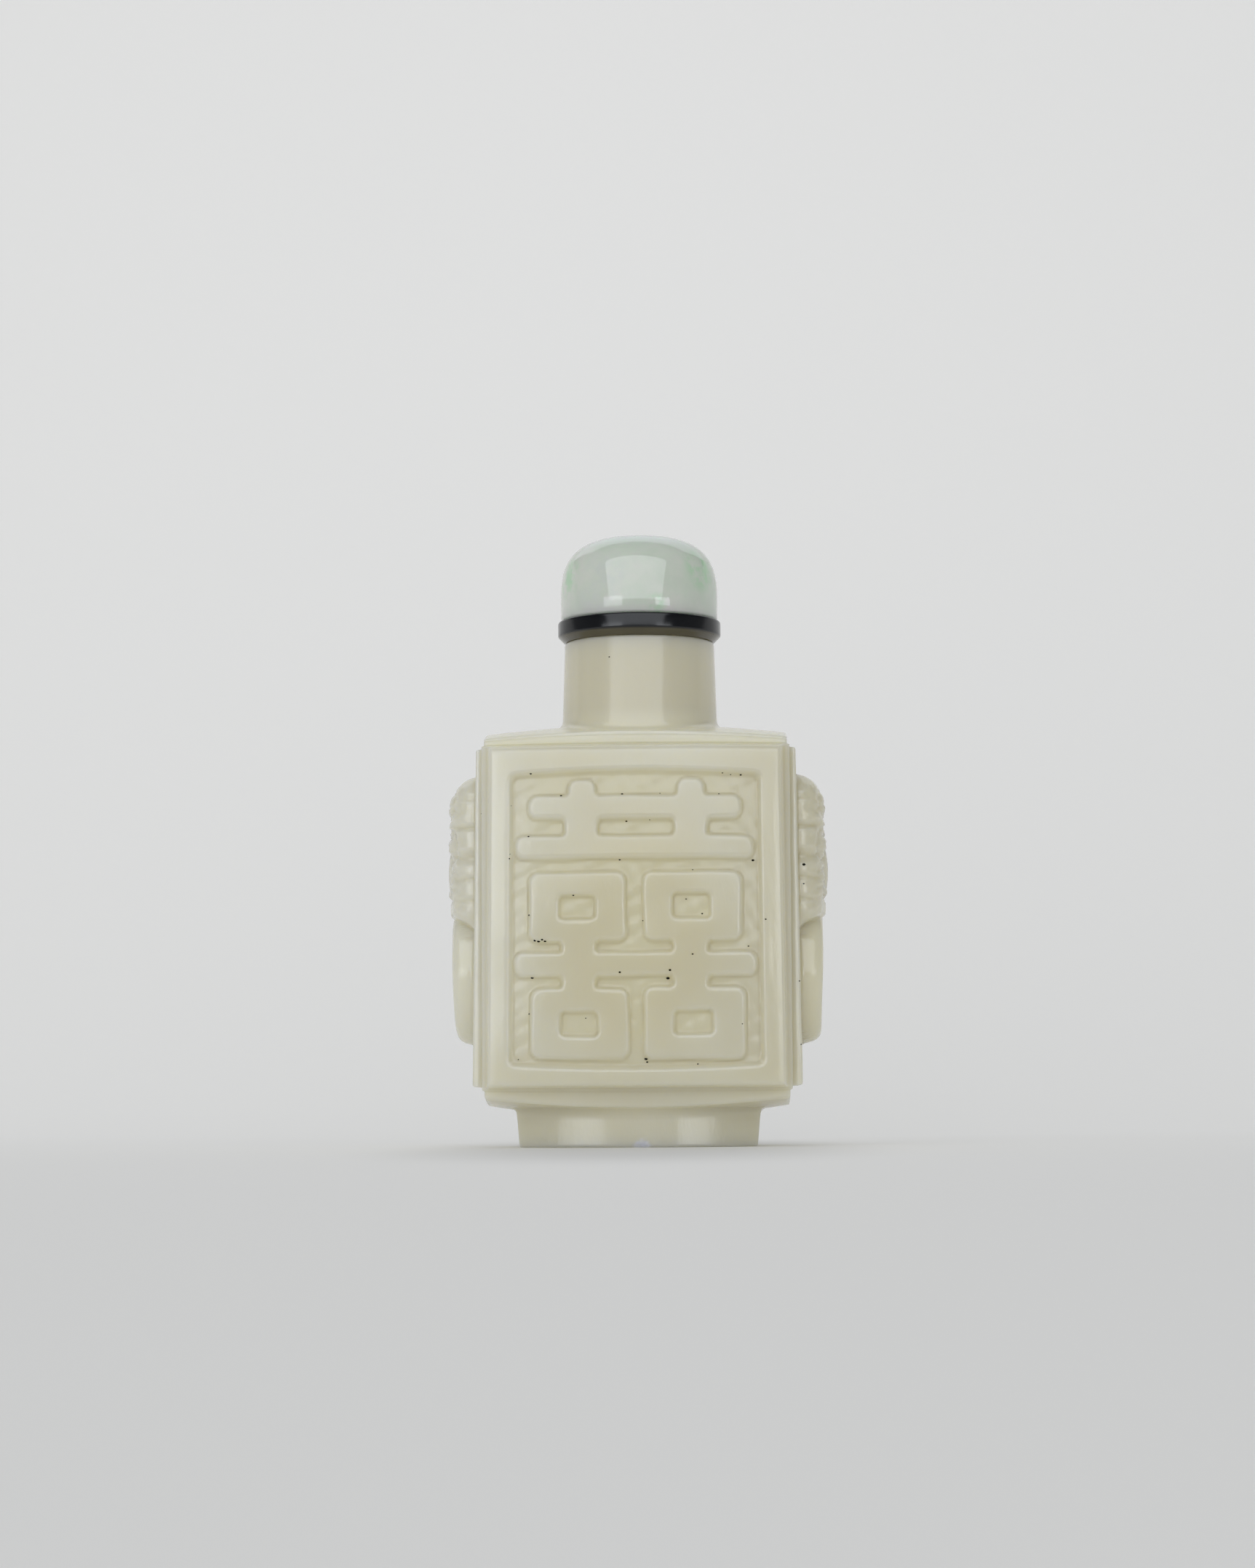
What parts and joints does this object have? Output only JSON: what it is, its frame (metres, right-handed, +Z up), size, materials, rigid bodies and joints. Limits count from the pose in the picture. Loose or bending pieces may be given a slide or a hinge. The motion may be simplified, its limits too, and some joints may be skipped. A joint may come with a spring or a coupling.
{
  "type": "snuff bottle",
  "caption": "Flattened square jade snuff bottle with framed relief panels, carved mask-and-ring handles, a low foot and a domed stopper on a black collar.",
  "frame": {"origin": "on the ground under the middle of the foot", "axes": "+Z up along the neck, the front with the relief faces -Y, +X to the right as the front is seen"},
  "size_m": [0.0402, 0.0216, 0.065],
  "materials": {
    "jade": "waxy polished nephrite, pale celadon white",
    "collar_black": "glossy black, like dyed and polished horn",
    "jadeite": "glassy polish, cloudy white and pale green"
  },
  "bodies": {
    "root": {"bottle": "jade", "stopper_collar": "collar_black", "stopper_cap": "jadeite"}
  },
  "joints": []
}
